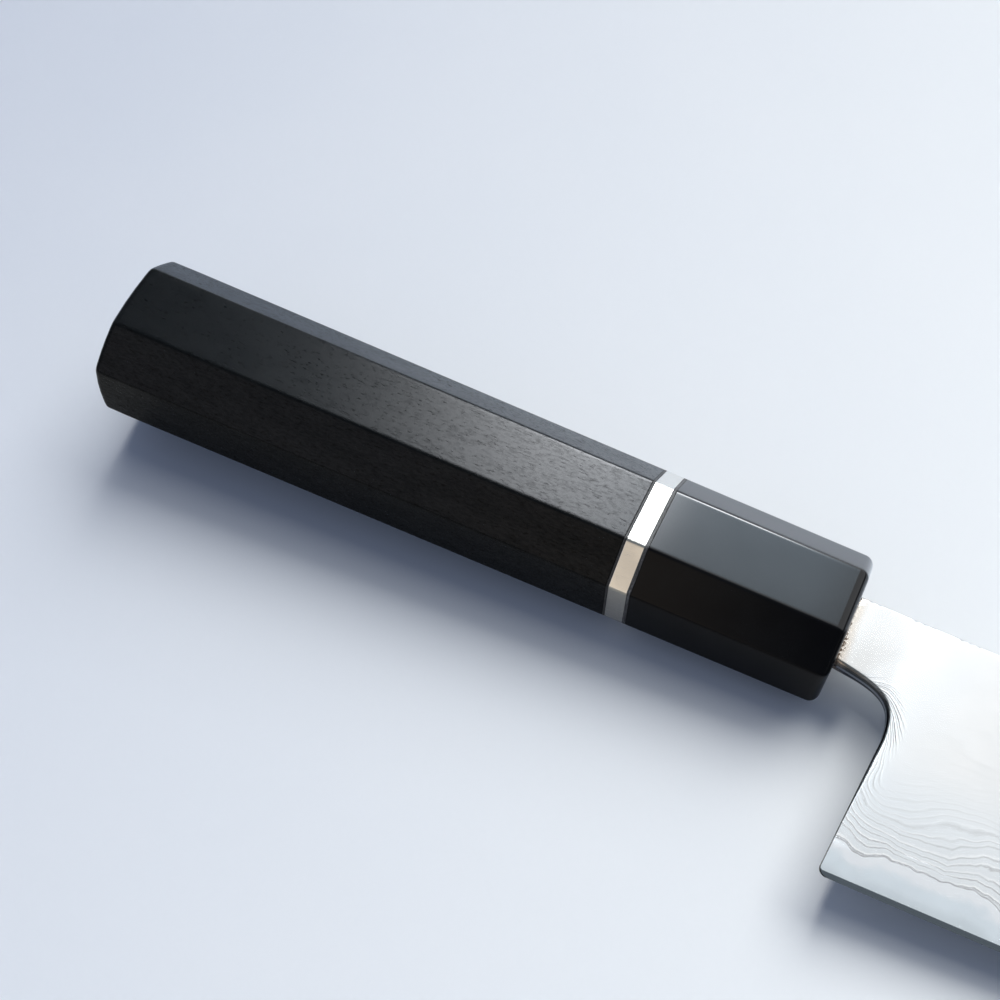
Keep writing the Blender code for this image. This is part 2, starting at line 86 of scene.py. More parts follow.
# Blade, in the CAD's sizes, apart from its borders, which are rounded half as much
BLADE_LENGTH = 170.0 * MM
SPINE_OFFSET = 6.3 * MM
NECK_HEIGHT = 12.6 * MM
NECK_DROP = 1.25 * MM
CHOIL_X = 10.95 * MM
CHOIL_DEPTH = 15.4 * MM
CHOIL_FULLNESS = 0.78
HEEL_X = 9.15 * MM
HEEL_HEIGHT = 45.3 * MM
HEEL_ROUNDING = 1.4 * MM
EDGE_SLOPE = 0.031
BELLY_RISE = 4.6 * MM
BELLY_LENGTH = 95.0 * MM
BELLY_POWER = 2.3
SPINE_CURVE_LENGTH = 66.0 * MM
SPINE_CURVE_ANGLE = math.radians(66.0)
TIP_NOSE = 0.9 * MM
TANG_LENGTH = 97.0 * MM
NECK_SEAT = 9.0 * MM
TANG_SHOULDER = 1.2 * MM
TANG_HEIGHT = 9.0 * MM
TANG_END_HEIGHT = 6.0 * MM
TANG_END_THICKNESS = 2.4 * MM
NECK_THICKNESS = 3.5 * MM
HEEL_THICKNESS = 2.9 * MM
TIP_THICKNESS = 1.1 * MM
SHOULDER_THICKNESS = 0.46 * MM
EDGE_LAND = 0.04 * MM
BEVEL_HEIGHT = 0.8 * MM
GRIND_FULLNESS = 1.7
GRIND_RUNOUT = 14.0 * MM
RUNOUT_LEAN = 3
LOW_BLADE = 8.0 * MM
LOW_SHARE = 0.6
BORDER_ROUNDING = 0.55 * MM
CLADDING_EDGE = 0.12 * MM
CORE_HALF = 0.31 * MM
WELD_GAP = 0.02 * MM
CORE_BAND = 6.2 * MM
BAND_WAVE = 0.42 * MM
BAND_WAVE_LENGTH = 27.0 * MM

# Mouth of the ferrule. The bead of resin is drawn as (share of its height, share of its width)
MOUTH_GAP = 0.55 * MM
SEAL_DEPTH = 2.5 * MM
SEAL_PROUD = 0.25 * MM
SEAL_FIT = 0.04 * MM
SEAL_PROFILE = [(-0.2, 1.0), (0.24, 0.9), (0.52, 0.68), (0.68, 0.45), (0.88, 0.2), (1.0, 0.0)]
SEAL_SWELL = 0.4
SEAL_SWELL_SIZE = 1.1 * MM
MOUTH_CHAMFER = 0.12 * MM
MOUTH_SURROUND = 1.2 * MM

TIP_X = HEEL_X + BLADE_LENGTH
NECK_BOTTOM = SPINE_OFFSET - NECK_HEIGHT
HEEL_EDGE = SPINE_OFFSET - HEEL_HEIGHT

# The weld line's long waves, as (share, speed, start), and its ripples, as (rise, speed, start)
BAND_WAVES = [(0.6, 1.0, 0.7), (0.4, 1.62, 2.1)]
RIPPLES = [(0.1, 1.9, 0.4), (0.07, 3.3, 1.0)]

# Forge marks: where hammering pushed the weld line up or down, as (place, rise, half width)
FORGE_MARKS = [(9.2, -0.5, 1.6), (13.7, -1.4, 2.1), (30.4, 0.75, 3.2), (35.3, -1.0, 1.5),
               (42.5, 0.5, 3.0), (52.0, -0.6, 2.2), (63.0, 0.5, 3.5), (74.0, -0.7, 2.2),
               (88.0, 0.4, 3.0), (97.0, -0.6, 2.2), (112.0, 0.5, 3.4), (126.0, -0.5, 2.2),
               (141.0, 0.4, 3.0), (155.0, -0.4, 2.2)]

# The stack of layers. Near the rear the file lifts deeper ones out, less so low down at the heel.
# The forging warps them, as (length, height, seed, depth at the weld, more of it further up)
LAYER_PITCH = 0.038 * MM
LAYER_LIFT = 0.28 * MM
REAR_WIDTH = 4.0 * MM
REAR_START = 10.0 * MM
CHOIL_RELIEF = 0.04 * MM
HEEL_LOSS = 0.62
HEEL_LOW = (16.0 * MM, 24.0 * MM)
LIFT_REACH = 8.0 * MM
FOLLOW_REACH = 9.0 * MM
WARP_REACH = 7.0 * MM
WARPS = [(13.0, 9.0, 0, 0.018, 0.075), (5.2, 4.0, 9, 0.012, 0.022), (2.3, 1.9, 21, 0.007, 0.0)]
SIDE_SEEDS = {1: 5.0, -1: 47.0}

# Points of the blade's sheet, in millimetres: rows in from the rear and the spine and above the
# edge, and lattices as (start, end, step)
SPINE_STEPS = 90
NOSE_STEPS = 60
EDGE_STEPS = 190
REAR_ROWS = (0.06, 0.14, 0.25, 0.4, 0.58, 0.8, 1.1, 1.5, 2.1, 2.8, 3.6, 4.6)
SPINE_ROWS = REAR_ROWS[:9]
LOW_ROWS = (0.4, 1.3, 2.2, 3.4, 4.6)
LATTICES = [(0.0, 46.0, 0.75), (46.0, 180.0, 1.6), (-96.0, 0.0, 4.0)]


# Helpers

def smooth_step(value, low, high):
    share = min(1.0, max(0.0, (value - low) / (high - low)))
    return share * share * (3 - 2 * share)


def add_object(name, data):
    thing = bpy.data.objects.new(name, data)
    bpy.context.scene.collection.objects.link(thing)
    return thing


def add_piece(name, mesh, material, node, smooth_angle=28):
    """Lay a mesh drawn in the knife's axes in its place and let it stand for a CAD node."""
    mesh.materials.append(material)
    mesh.transform(KNIFE_REST)
    mesh.shade_smooth()
    mesh.set_sharp_from_angle(angle=math.radians(smooth_angle))
    piece = add_object(name, mesh)
    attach(piece, "root")
    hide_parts(node)


def mesh_from(name, points, faces):
    """A mesh with its faces turned outwards."""
    shape = bmesh.new()
    verts = [shape.verts.new(point) for point in points]
    for face in faces:
        shape.faces.new([verts[index] for index in face])
    bmesh.ops.recalc_face_normals(shape, faces=shape.faces)
    mesh = bpy.data.meshes.new(name)
    shape.to_mesh(mesh)
    shape.free()
    return mesh


def loft(name, rings, joined=False):
    """Join rings of equal count. A ring of one point is a pole, and joined closes last to first."""
    points, starts = [], []
    for ring in rings:
        starts.append(len(points))
        points += [tuple(point) for point in ring]
    pairs = list(zip(range(len(rings)), range(1, len(rings))))
    if joined:
        pairs.append((len(rings) - 1, 0))
    faces = []
    for first, second in pairs:
        a, b = starts[first], starts[second]
        count_a, count_b = len(rings[first]), len(rings[second])
        count = max(count_a, count_b)
        for index in range(count):
            following = (index + 1) % count
            corners = (a + index % count_a, a + following % count_a,
                       b + following % count_b, b + index % count_b)
            faces.append(list(dict.fromkeys(corners)))
    return mesh_from(name, points, faces)


# Handle shapes

def handle_half_sizes(x):
    """Half width and half thickness of the tapered handle."""
    forward = 1 + x / HANDLE_LENGTH
    width = BUTT_WIDTH + (FRONT_WIDTH - BUTT_WIDTH) * forward
    thickness = BUTT_THICKNESS + (FRONT_THICKNESS - BUTT_THICKNESS) * forward
    return width / 2, thickness / 2


def octagon(x, inset=0.0):
    """The handle's section at a station, drawn in by an inset, with eased ridges, as (y, z)."""
    half_y, half_z = handle_half_sizes(x)
    slant = math.atan2(half_y, half_z)
    slant_reach = (1 + FLAT_SHARE) * half_y * half_z / math.hypot(half_y, half_z)
    angles, reaches = [], []
    for quarter in range(4):
        flat_reach = half_y if quarter % 2 == 0 else half_z
        lean = slant if quarter % 2 == 0 else math.pi / 2 - slant
        angles += [quarter * math.pi / 2, quarter * math.pi / 2 + lean]
        reaches += [flat_reach, slant_reach]
    corners = []
    for index in range(8):
        pair = [index, (index + 1) % 8]
        planes = np.array([[math.cos(angles[side]), math.sin(angles[side])] for side in pair])
        corners.append(np.linalg.solve(planes, np.array([reaches[side] for side in pair]) - inset))
    worn = min(1.0, max(0.0, 1 - (x + HANDLE_LENGTH - WORN_START) / WORN_LENGTH))
    ease = RIDGE_EASE + WORN_EASE * worn ** 2
    share = np.linspace(0, 1, RIDGE_STEPS + 1)[:, None]
    arcs = []
    for index, corner in enumerate(corners):
        before, after = corners[index - 1] - corner, corners[(index + 1) % 8] - corner
        start = corner + before * ease / np.hypot(*before)
        end = corner + after * ease / np.hypot(*after)
        arcs.append(start * (1 - share) ** 3 + corner * 3 * share * (1 - share) + end * share ** 3)
    outline = []
    for index, arc in enumerate(arcs):
        outline += list(arc)
        following = arcs[(index + 1) % 8][0]
        for step in range(1, FACET_STEPS):
            outline.append(arc[-1] + (following - arc[-1]) * step / FACET_STEPS)
    return np.array(outline)


def handle_ring(x, inset=0.0):
    outline = octagon(x, inset)
    return np.c_[np.full(len(outline), x), outline]


def facings(x):
    """The directions of the octagon's points, for rings of other shapes that join it."""
    outline = octagon(x)
    return np.arctan2(outline[:, 1], outline[:, 0])


def round_ring(x, radius):
    turn = facings(x)
    return np.c_[np.full(len(turn), x), radius * np.cos(turn), radius * np.sin(turn)]


def slot_ring(x, grow):
    """The rounded slot round the neck, grown by a margin, found along each facing by halving."""
    middle = (SPINE_OFFSET + NECK_BOTTOM) / 2
    half_y = NECK_HEIGHT / 2 + grow
    half_z = NECK_THICKNESS / 2 + grow
    corner = BORDER_ROUNDING + grow
    ring = []
    for angle in facings(x):
        way = np.array([math.cos(angle), math.sin(angle)])
        near, far = 0.0, 20 * MM
        for _ in range(40):
            reach = (near + far) / 2
            y, z = abs(way[0] * reach), abs(way[1] * reach)
            rounded = math.hypot(max(0.0, y - half_y + corner), max(0.0, z - half_z + corner))
            if rounded < corner and y < half_y and z < half_z:
                near = reach
            else:
                far = reach
        ring.append((x, middle + way[0] * near, way[1] * near))
    return np.array(ring)


def stations(back, front):
    return np.linspace(back, front, max(2, math.ceil((front - back) / (3.0 * MM)) + 1))


def broken_edge(x, size, into):
    """Rings from an end into the piece: they break its edge and keep the facets behind it flat."""
    rings = []
    for share in (0.0, 0.5, 1.0):
        angle = share * math.pi / 2
        station = x + into * size * (1 - math.cos(angle))
        rings.append(handle_ring(station, size * (1 - math.sin(angle))))
    rings.append(handle_ring(x + into * (size + SUPPORT)))
    return rings


def handle_band(name, front, back):
    """A ring of the handle between two distances behind the front face, bored for the dowel."""
    rings = broken_edge(-back, BAND_EDGE, 1)
    rings += broken_edge(-front, BAND_EDGE, -1)[::-1]
    rings += [round_ring(-front, BORE_RADIUS), round_ring(-back, BORE_RADIUS)]
    return loft(name, rings, joined=True)


def crown_fall(y, z):
    """How far the crowned butt, sanded a little askew, falls away from the full length."""
    across, up = 2 * y / BUTT_WIDTH, 2 * z / BUTT_THICKNESS
    crown = BUTT_CROWN_SIDES * across ** 2 + BUTT_CROWN_FLATS * up ** 2
    return BUTT_SETBACK + crown + BUTT_SKEW_SIDES * across + BUTT_SKEW_FLATS * up


def on_crown(outline):
    fall = crown_fall(outline[:, 0], outline[:, 1])
    return np.c_[-HANDLE_LENGTH + fall, outline]


def handle_body_mesh(front):
    """The ebony body: bored from the front, with the softly crowned and rounded butt."""
    rings = [[(-BORE_END, 0.0, 0.0)]]
    rings += [round_ring(-BORE_END, BORE_RADIUS), round_ring(-front, BORE_RADIUS)]
    rings += broken_edge(-front, HANDLE_EDGE, -1)
    last_station, first_guess = -HANDLE_LENGTH + 8 * MM, -HANDLE_LENGTH + 4 * MM
    plain = stations(last_station, -front - HANDLE_EDGE - SUPPORT)[::-1]
    rings += [handle_ring(x) for x in plain[1:]]
    side = on_crown(octagon(first_guess))
    for _ in range(3):
        for index, (x, _, _) in enumerate(side):
            side[index, 1:] = octagon(x)[index]
        side[:, 0] = -HANDLE_LENGTH + crown_fall(side[:, 1], side[:, 2])
    start = side.copy()
    start[:, 0] += BUTT_ROUNDING
    shrink = 1 - BUTT_ROUNDING / np.hypot(side[:, 1], side[:, 2])
    drawn_in = on_crown(side[:, 1:] * shrink[:, None])
    for share in (0.5, 0.96, 1.0):
        rings.append(rings[-1] + (start - rings[-1]) * share)
    for step in range(1, 7):
        share, rest = step / 6, 1 - step / 6
        rings.append(start * rest ** 2 + side * 2 * share * rest + drawn_in * share ** 2)
    for share in (0.93, 0.8, 0.62, 0.42, 0.2):
        rings.append(on_crown(drawn_in[:, 1:] * share))
    rings.append(on_crown(np.zeros((1, 2))))
    return loft("handle_planed", rings)


def ferrule_mesh():
    """The horn ferrule: rounded at the front, slotted for the neck and bored for the dowel."""
    rings = broken_edge(-FERRULE_LENGTH, HANDLE_EDGE, 1)
    plain = stations(-FERRULE_LENGTH + HANDLE_EDGE + SUPPORT, -FERRULE_ROUNDING - SUPPORT)
    rings += [handle_ring(x) for x in plain[1:]]
    for angle in np.linspace(0, math.pi / 2, 10):
        inset = FERRULE_ROUNDING * (1 - math.cos(angle))
        rings.append(handle_ring(-FERRULE_ROUNDING * (1 - math.sin(angle)), inset))
    rings.append(handle_ring(0.0, FERRULE_ROUNDING + MOUTH_SURROUND))
    rings.append(slot_ring(0.0, MOUTH_GAP + MOUTH_CHAMFER))
    rings += [slot_ring(x, MOUTH_GAP) for x in (-MOUTH_CHAMFER, -SEAL_DEPTH, -BORE_START)]
    rings += [round_ring(x, BORE_RADIUS) for x in (-BORE_START, -FERRULE_LENGTH)]
    return loft("ferrule_turned", rings, joined=True)


def seal_mesh():
    """The resin that fills the mouth: a bead with an uneven meniscus against horn and steel."""
    outer, inner = MOUTH_GAP - SEAL_FIT, SEAL_FIT
    rings = [slot_ring(-SEAL_DEPTH, inner), slot_ring(-SEAL_DEPTH, outer)]
    for height, share in SEAL_PROFILE:
        ring = slot_ring(0.0, inner + (outer - inner) * share)
        for point in ring:
            place = Vector((point[1] / SEAL_SWELL_SIZE, point[2] / SEAL_SWELL_SIZE, 3.0))
            swell = 1 - SEAL_SWELL + SEAL_SWELL * noise.noise(place)
            point[0] = height * SEAL_PROUD * (swell if height > 0 else 1)
        rings.append(ring)
    return loft("seal_poured", rings, joined=True)


# Blade outline

def edge_line(x):
    belly = max(0.0, (x - TIP_X + BELLY_LENGTH) / BELLY_LENGTH) ** BELLY_POWER
    return HEEL_EDGE + EDGE_SLOPE * max(0.0, x - HEEL_X) + BELLY_RISE * belly


def spine_line(x):
    along = min(max(0.0, (x - TIP_X + SPINE_CURVE_LENGTH) / SPINE_CURVE_LENGTH), 1.0)
    turned = math.asin(along * math.sin(SPINE_CURVE_ANGLE))
    fall = SPINE_OFFSET - edge_line(TIP_X) - TIP_NOSE
    return SPINE_OFFSET - fall * (1 - math.cos(turned)) / (1 - math.cos(SPINE_CURVE_ANGLE))


def weld_line(x):
    """Height at which the cladding ends: the CAD's waves and forge marks, with a fine ripple."""
    turn = math.tau * (x - HEEL_X) / BAND_WAVE_LENGTH
    wave = sum(share * math.sin(speed * turn + start) for share, speed, start in BAND_WAVES)
    marks = sum(rise * math.exp(-((x / MM - place) / width) ** 2)
                for place, rise, width in FORGE_MARKS)
    ripple = sum(rise * math.sin(x / MM * speed + start) for rise, speed, start in RIPPLES)
    return edge_line(x) + CORE_BAND + BAND_WAVE * wave + (marks + ripple) * MM


def tang_outline(x):
    if x >= -NECK_SEAT:
        return SPINE_OFFSET, NECK_BOTTOM
    along = (-x - NECK_SEAT) / (TANG_LENGTH - NECK_SEAT)
    half = (TANG_HEIGHT + (TANG_END_HEIGHT - TANG_HEIGHT) * along) / 2
    return half, -half


def rear_outline():
    """The back of the blade: under the neck, round the choil, down the heel, round its corner."""
    choil_steps, heel_steps = 60, 70
    start = Vector((0.0, NECK_BOTTOM, 0.0))
    end = Vector((CHOIL_X, -CHOIL_DEPTH, 0.0))
    first_handle = start + Vector((CHOIL_FULLNESS * CHOIL_X, -NECK_DROP, 0.0))
    last_handle = end + Vector((0.0, CHOIL_FULLNESS * (start.y - end.y), 0.0))
    choil = interpolate_bezier(start, first_handle, last_handle, end, choil_steps)
    corner = Vector((HEEL_X, HEEL_EDGE + HEEL_ROUNDING, 0.0))
    heel_line = [end.lerp(corner, step / heel_steps) for step in range(1, heel_steps)]
    turn = [corner + HEEL_ROUNDING * Vector((1 - math.cos(angle), -math.sin(angle), 0.0))
            for angle in np.linspace(0, math.pi / 2, 10)]
    return np.array([(point.x, point.y) for point in list(choil) + heel_line + turn])


REAR = rear_outline()


def distance_to_line(line, x, y):
    """Distance from a point to a drawn line."""
    starts, steps = line[:-1], np.diff(line, axis=0)
    share = np.clip((((x, y) - starts) * steps).sum(1) / (steps ** 2).sum(1), 0, 1)
    return float(np.hypot(*(starts + share[:, None] * steps - (x, y)).T).min())


def spine_gap(x, y):
    slope = (spine_line(x) - spine_line(x - MM)) / MM
    return (spine_line(x) - y) / math.hypot(1, slope)


def rear_gap(x, y):
    return max(0.0, y - NECK_BOTTOM) if x <= 0 else distance_to_line(REAR, x, y)


def border_distance(x, y):
    """Distance to the nearest rounded border: spine, neck, tang, choil or heel."""
    if x <= 0:
        top, bottom = tang_outline(x)
        return max(0.0, min(top - y, y - bottom))
    return max(0.0, min(spine_gap(x, y), rear_gap(x, y)))


# Blade thickness

def low_scale(x):
    """How far the bevel and the rows above it shrink where the blade gets low near the tip."""
    return min(1.0, LOW_SHARE * (spine_line(x) - edge_line(x)) / LOW_BLADE)


def spine_half(x):
    places = (-TANG_LENGTH, -NECK_SEAT, 0.0, HEEL_X, TIP_X)
    values = (TANG_END_THICKNESS, NECK_THICKNESS, NECK_THICKNESS, HEEL_THICKNESS, TIP_THICKNESS)
    return float(np.interp(x, places, values)) / 2


def ground_half(x, y):
    """Half thickness of the ground blade, before its borders are rounded."""
    above = max(0.0, y - edge_line(x))
    bevel = BEVEL_HEIGHT * low_scale(x)
    shoulder = SHOULDER_THICKNESS / 2
    if above < bevel:
        return EDGE_LAND / 2 + (shoulder - EDGE_LAND / 2) * above / bevel
    share = min(1.0, (above - bevel) / (spine_line(x) - edge_line(x) - bevel))
    grown = share * (GRIND_FULLNESS - (GRIND_FULLNESS - 1) * share)
    ground = shoulder + (spine_half(x) - shoulder) * grown
    lean = 1 - min(0.0, y) / NECK_HEIGHT * RUNOUT_LEAN
    runout = smooth_step(max(0.0, x / GRIND_RUNOUT) * lean, 0.0, 1.0)
    return spine_half(x) + (ground - spine_half(x)) * runout


def rear_share(x, y):
    """One at the rear border of the blade, falling to zero inside it, and nothing at the neck."""
    if x <= 0:
        return 0.0
    along = smooth_step(x, 0.0, REAR_START)
    return along * max(0.0, 1 - rear_gap(x, y) / (REAR_WIDTH * max(0.1, along))) ** 2


def surface_half(x, y):
    """Half thickness with the slight hollow of the file at the rear, and with rounded borders."""
    half = ground_half(x, y)
    thinned = max(min(half, CORE_HALF + CLADDING_EDGE), half - CHOIL_RELIEF * rear_share(x, y))
    radius = min(BORDER_ROUNDING, max(0.0, thinned - CORE_HALF - CLADDING_EDGE))
    gap = border_distance(x, y)
    if gap >= radius:
        return thinned
    return thinned - radius + math.sqrt(radius ** 2 - (radius - gap) ** 2)


def layer_depth(x, y, side):
    """How deep in the stack of layers the ground surface lies, warped by the forging."""
    if x <= 0:
        return ground_half(x, y)
    weld = weld_line(x)
    height = y - weld
    smooth_weld = edge_line(x) + CORE_BAND
    follow = math.exp(-max(0.0, height) / FOLLOW_REACH)
    shift = (ground_half(x, smooth_weld) - ground_half(x, weld)) * follow
    grown = min(1.0, max(0.0, height) / WARP_REACH)
    warp = 0.0
    for length, tall, seed, at_weld, further_up in WARPS:
        place = Vector((x / MM / length, y / MM / tall, SIDE_SEEDS[side] + seed))
        warp += (at_weld + further_up * grown) * noise.noise(place)
    heel = 1 - HEEL_LOSS * smooth_step(-y, *HEEL_LOW)
    lift = LAYER_LIFT * rear_share(x, y) * heel * smooth_step(height, 0.0, LIFT_REACH)
    return ground_half(x, y) + shift + warp * MM - lift


# Blade meshes

def blade_outline():
    """The outline of blade and tang as one closed line."""
    curve_start = TIP_X - SPINE_CURVE_LENGTH
    spine = [(x, spine_line(x)) for x in np.linspace(0.0, curve_start, SPINE_STEPS)]
    for step in range(1, NOSE_STEPS + 1):
        turned = math.sin(SPINE_CURVE_ANGLE * step / NOSE_STEPS)
        x = curve_start + SPINE_CURVE_LENGTH * turned / math.sin(SPINE_CURVE_ANGLE)
        spine.append((x, spine_line(x)))
    edge = [(x, edge_line(x)) for x in np.linspace(TIP_X, HEEL_X + HEEL_ROUNDING, EDGE_STEPS)]
    places = (-NECK_SEAT, -NECK_SEAT - TANG_SHOULDER, -TANG_LENGTH)
    tang = [(x, tang_outline(x)[1]) for x in places]
    tang += [(x, tang_outline(x)[0]) for x in places[::-1]]
    neck_back = [tuple(point) for point in REAR[::-1]][1:]
    return spine + edge + neck_back + tang


def blade_points(outline):
    """Points inside the outline: rows along the rear, the spine and the edge, and a lattice."""
    kept = []

    def add_rows(line, distances, side):
        line = np.array(line)
        way = np.gradient(line, axis=0)
        way /= np.hypot(way[:, 0], way[:, 1])[:, None]
        inward = np.c_[way[:, 1], -way[:, 0]] * side
        for distance in [row * MM for row in distances]:
            for x, y in line + inward * distance:
                on_blade = x > 0.02 * MM and y > edge_line(x) + 0.05 * MM
                if on_blade and border_distance(x, y) > 0.97 * distance:
                    kept.append((x, y))

    add_rows(REAR, REAR_ROWS, -1)
    add_rows(outline[:SPINE_STEPS + NOSE_STEPS], SPINE_ROWS, 1)
    for x in np.linspace(HEEL_X + 0.1 * MM, TIP_X - 2 * MM, EDGE_STEPS):
        squeeze = low_scale(x)
        for above in LOW_ROWS:
            y = edge_line(x) + above * squeeze * MM
            if border_distance(x, y) > 0.5 * MM:
                kept.append((x, y))
    tree_points = outline + kept + bevel_points()
    tree = kdtree.KDTree(len(tree_points))
    for index, (x, y) in enumerate(tree_points):
        tree.insert((x, y, 0.0), index)
    tree.balance()
    lattice = []
    for start, end, step in LATTICES:
        for column, x in enumerate(np.arange(start + step / 2, end, step)):
            for y in np.arange(-40.0, 6.3, step):
                point = (x * MM, (y + (column % 2) * step / 2) * MM)
                above = point[1] > edge_line(max(0, point[0]))
                if above and border_distance(*point) > 0.3 * MM:
                    if tree.find((*point, 0.0))[2] > 0.45 * step * MM:
                        lattice.append(point)
    return kept + lattice


def weld_points():
    """The weld line from behind the heel to beyond the spine near the tip."""
    return [(x, weld_line(x)) for x in np.arange(HEEL_X - 1.0 * MM, TIP_X, 0.3 * MM)]


def bevel_points():
    """The crease between the ground face and the bevel of the edge."""
    places = np.arange(HEEL_X + 0.5 * MM, TIP_X - 1.5 * MM, 0.5 * MM)
    return [(x, edge_line(x) + BEVEL_HEIGHT * low_scale(x)) for x in places]


def cut_sheet(outline, inner_points, weld):
    """Triangles of the blade's outline, split at the weld line into cladding and bare core."""
    bevel = bevel_points()
    points = [Vector(point) for point in outline + weld + bevel + inner_points]
    edges, first = [], len(outline)
    for line in (weld, bevel):
        edges += [(first + index, first + index + 1) for index in range(len(line) - 1)]
        first += len(line)
    rim = list(range(len(outline)))[::-1]
    verts, _, faces, _, _, face_sources = delaunay_2d_cdt(points, edges, [rim], 0, 1e-7)
    sheet = np.array([(vert.x, vert.y) for vert in verts])
    weld = np.array(weld)
    cladding, core = [], []
    for face, sources in zip(faces, face_sources):
        if 0 not in sources:
            continue
        x, y = sheet[list(face)].mean(0)
        above = x < weld[0, 0] or y > np.interp(x, weld[:, 0], weld[:, 1])
        (cladding if above else core).append(face)
    return sheet, cladding, core


def open_edges(faces):
    """The directed edges that only one face of a group uses."""
    seen = set()
    for face in faces:
        for index, vert in enumerate(face):
            seen.add((vert, face[(index + 1) % len(face)]))
    return [edge for edge in seen if (edge[1], edge[0]) not in seen]


class Solid:
    """Collects faces between heights over one flat sheet, sharing the points of equal height."""

    def __init__(self, sheet):
        self.sheet = sheet
        self.index = {}
        self.points = []
        self.faces = []

    def point(self, vert, height):
        key = (vert, round(height * 1e7))
        if key not in self.index:
            self.index[key] = len(self.points)
            self.points.append((*self.sheet[vert], height))
        return self.index[key]

    def skin(self, faces, height_of, flip=False):
        for face in faces:
            order = reversed(face) if flip else face
            self.faces.append([self.point(vert, height_of(vert)) for vert in order])

    def wall(self, edges, low_of, high_of):
        for first, second in edges:
            ends = ((first, low_of), (second, low_of), (second, high_of), (first, high_of))
            corners = dict.fromkeys(self.point(vert, height_of(vert)) for vert, height_of in ends)
            if len(corners) > 2:
                self.faces.append(list(corners))


def store_places(mesh, side):
    """Store the depth in the stack of layers and the gaps to rear and weld, in millimetres."""
    far_off = 9.0
    depths, gaps, welds = [], [], []
    for vert in mesh.vertices:
        x, y, z = vert.co
        depths.append((layer_depth(x, y, side) + abs(z) - surface_half(x, y)) / MM)
        gaps.append(rear_gap(x, y) / MM)
        welds.append((y - weld_line(x)) / MM if x > HEEL_X - MM else far_off)
    for name, values in (("layer_depth", depths), ("rear_gap", gaps), ("weld_gap", welds)):
        mesh.attributes.new(name, "FLOAT", "POINT").data.foreach_set("value", values)


def blade_meshes():
    outline = blade_outline()
    sheet, cladding, core = cut_sheet(outline, blade_points(outline), weld_points())
    height = [surface_half(x, y) for x, y in sheet]
    meshes = {}
    for name, side in (("right_cladding", 1), ("left_cladding", -1)):
        solid = Solid(sheet)
        outer = [side * value for value in height]
        inner = side * (CORE_HALF + WELD_GAP)
        solid.skin(cladding, lambda vert: outer[vert], flip=side < 0)
        solid.skin(cladding, lambda vert: inner, flip=side > 0)
        solid.wall(open_edges(cladding), lambda vert: inner, lambda vert: outer[vert])
        meshes[name] = mesh_from(name + "_ground", solid.points, solid.faces)
        store_places(meshes[name], side)
    solid = Solid(sheet)
    for side in (1, -1):
        solid.skin(core, lambda vert: side * height[vert], flip=side < 0)
        solid.skin(cladding, lambda vert: side * CORE_HALF, flip=side < 0)
    core_rim, plate_rim = set(open_edges(core)), set(open_edges(cladding))
    shared = [edge for edge in core_rim if (edge[1], edge[0]) in plate_rim]
    for side in (1, -1):
        solid.wall(shared, lambda vert: side * CORE_HALF, lambda vert: side * height[vert])
    bare = [edge for edge in core_rim if edge not in set(shared)]
    solid.wall(bare, lambda vert: -height[vert], lambda vert: height[vert])
    hidden = [edge for edge in plate_rim if (edge[1], edge[0]) not in core_rim]
    solid.wall(hidden, lambda vert: -CORE_HALF, lambda vert: CORE_HALF)
    meshes["blade_core"] = mesh_from("blade_core_ground", solid.points, solid.faces)
    store_places(meshes["blade_core"], 1)
    return meshes


# Materials

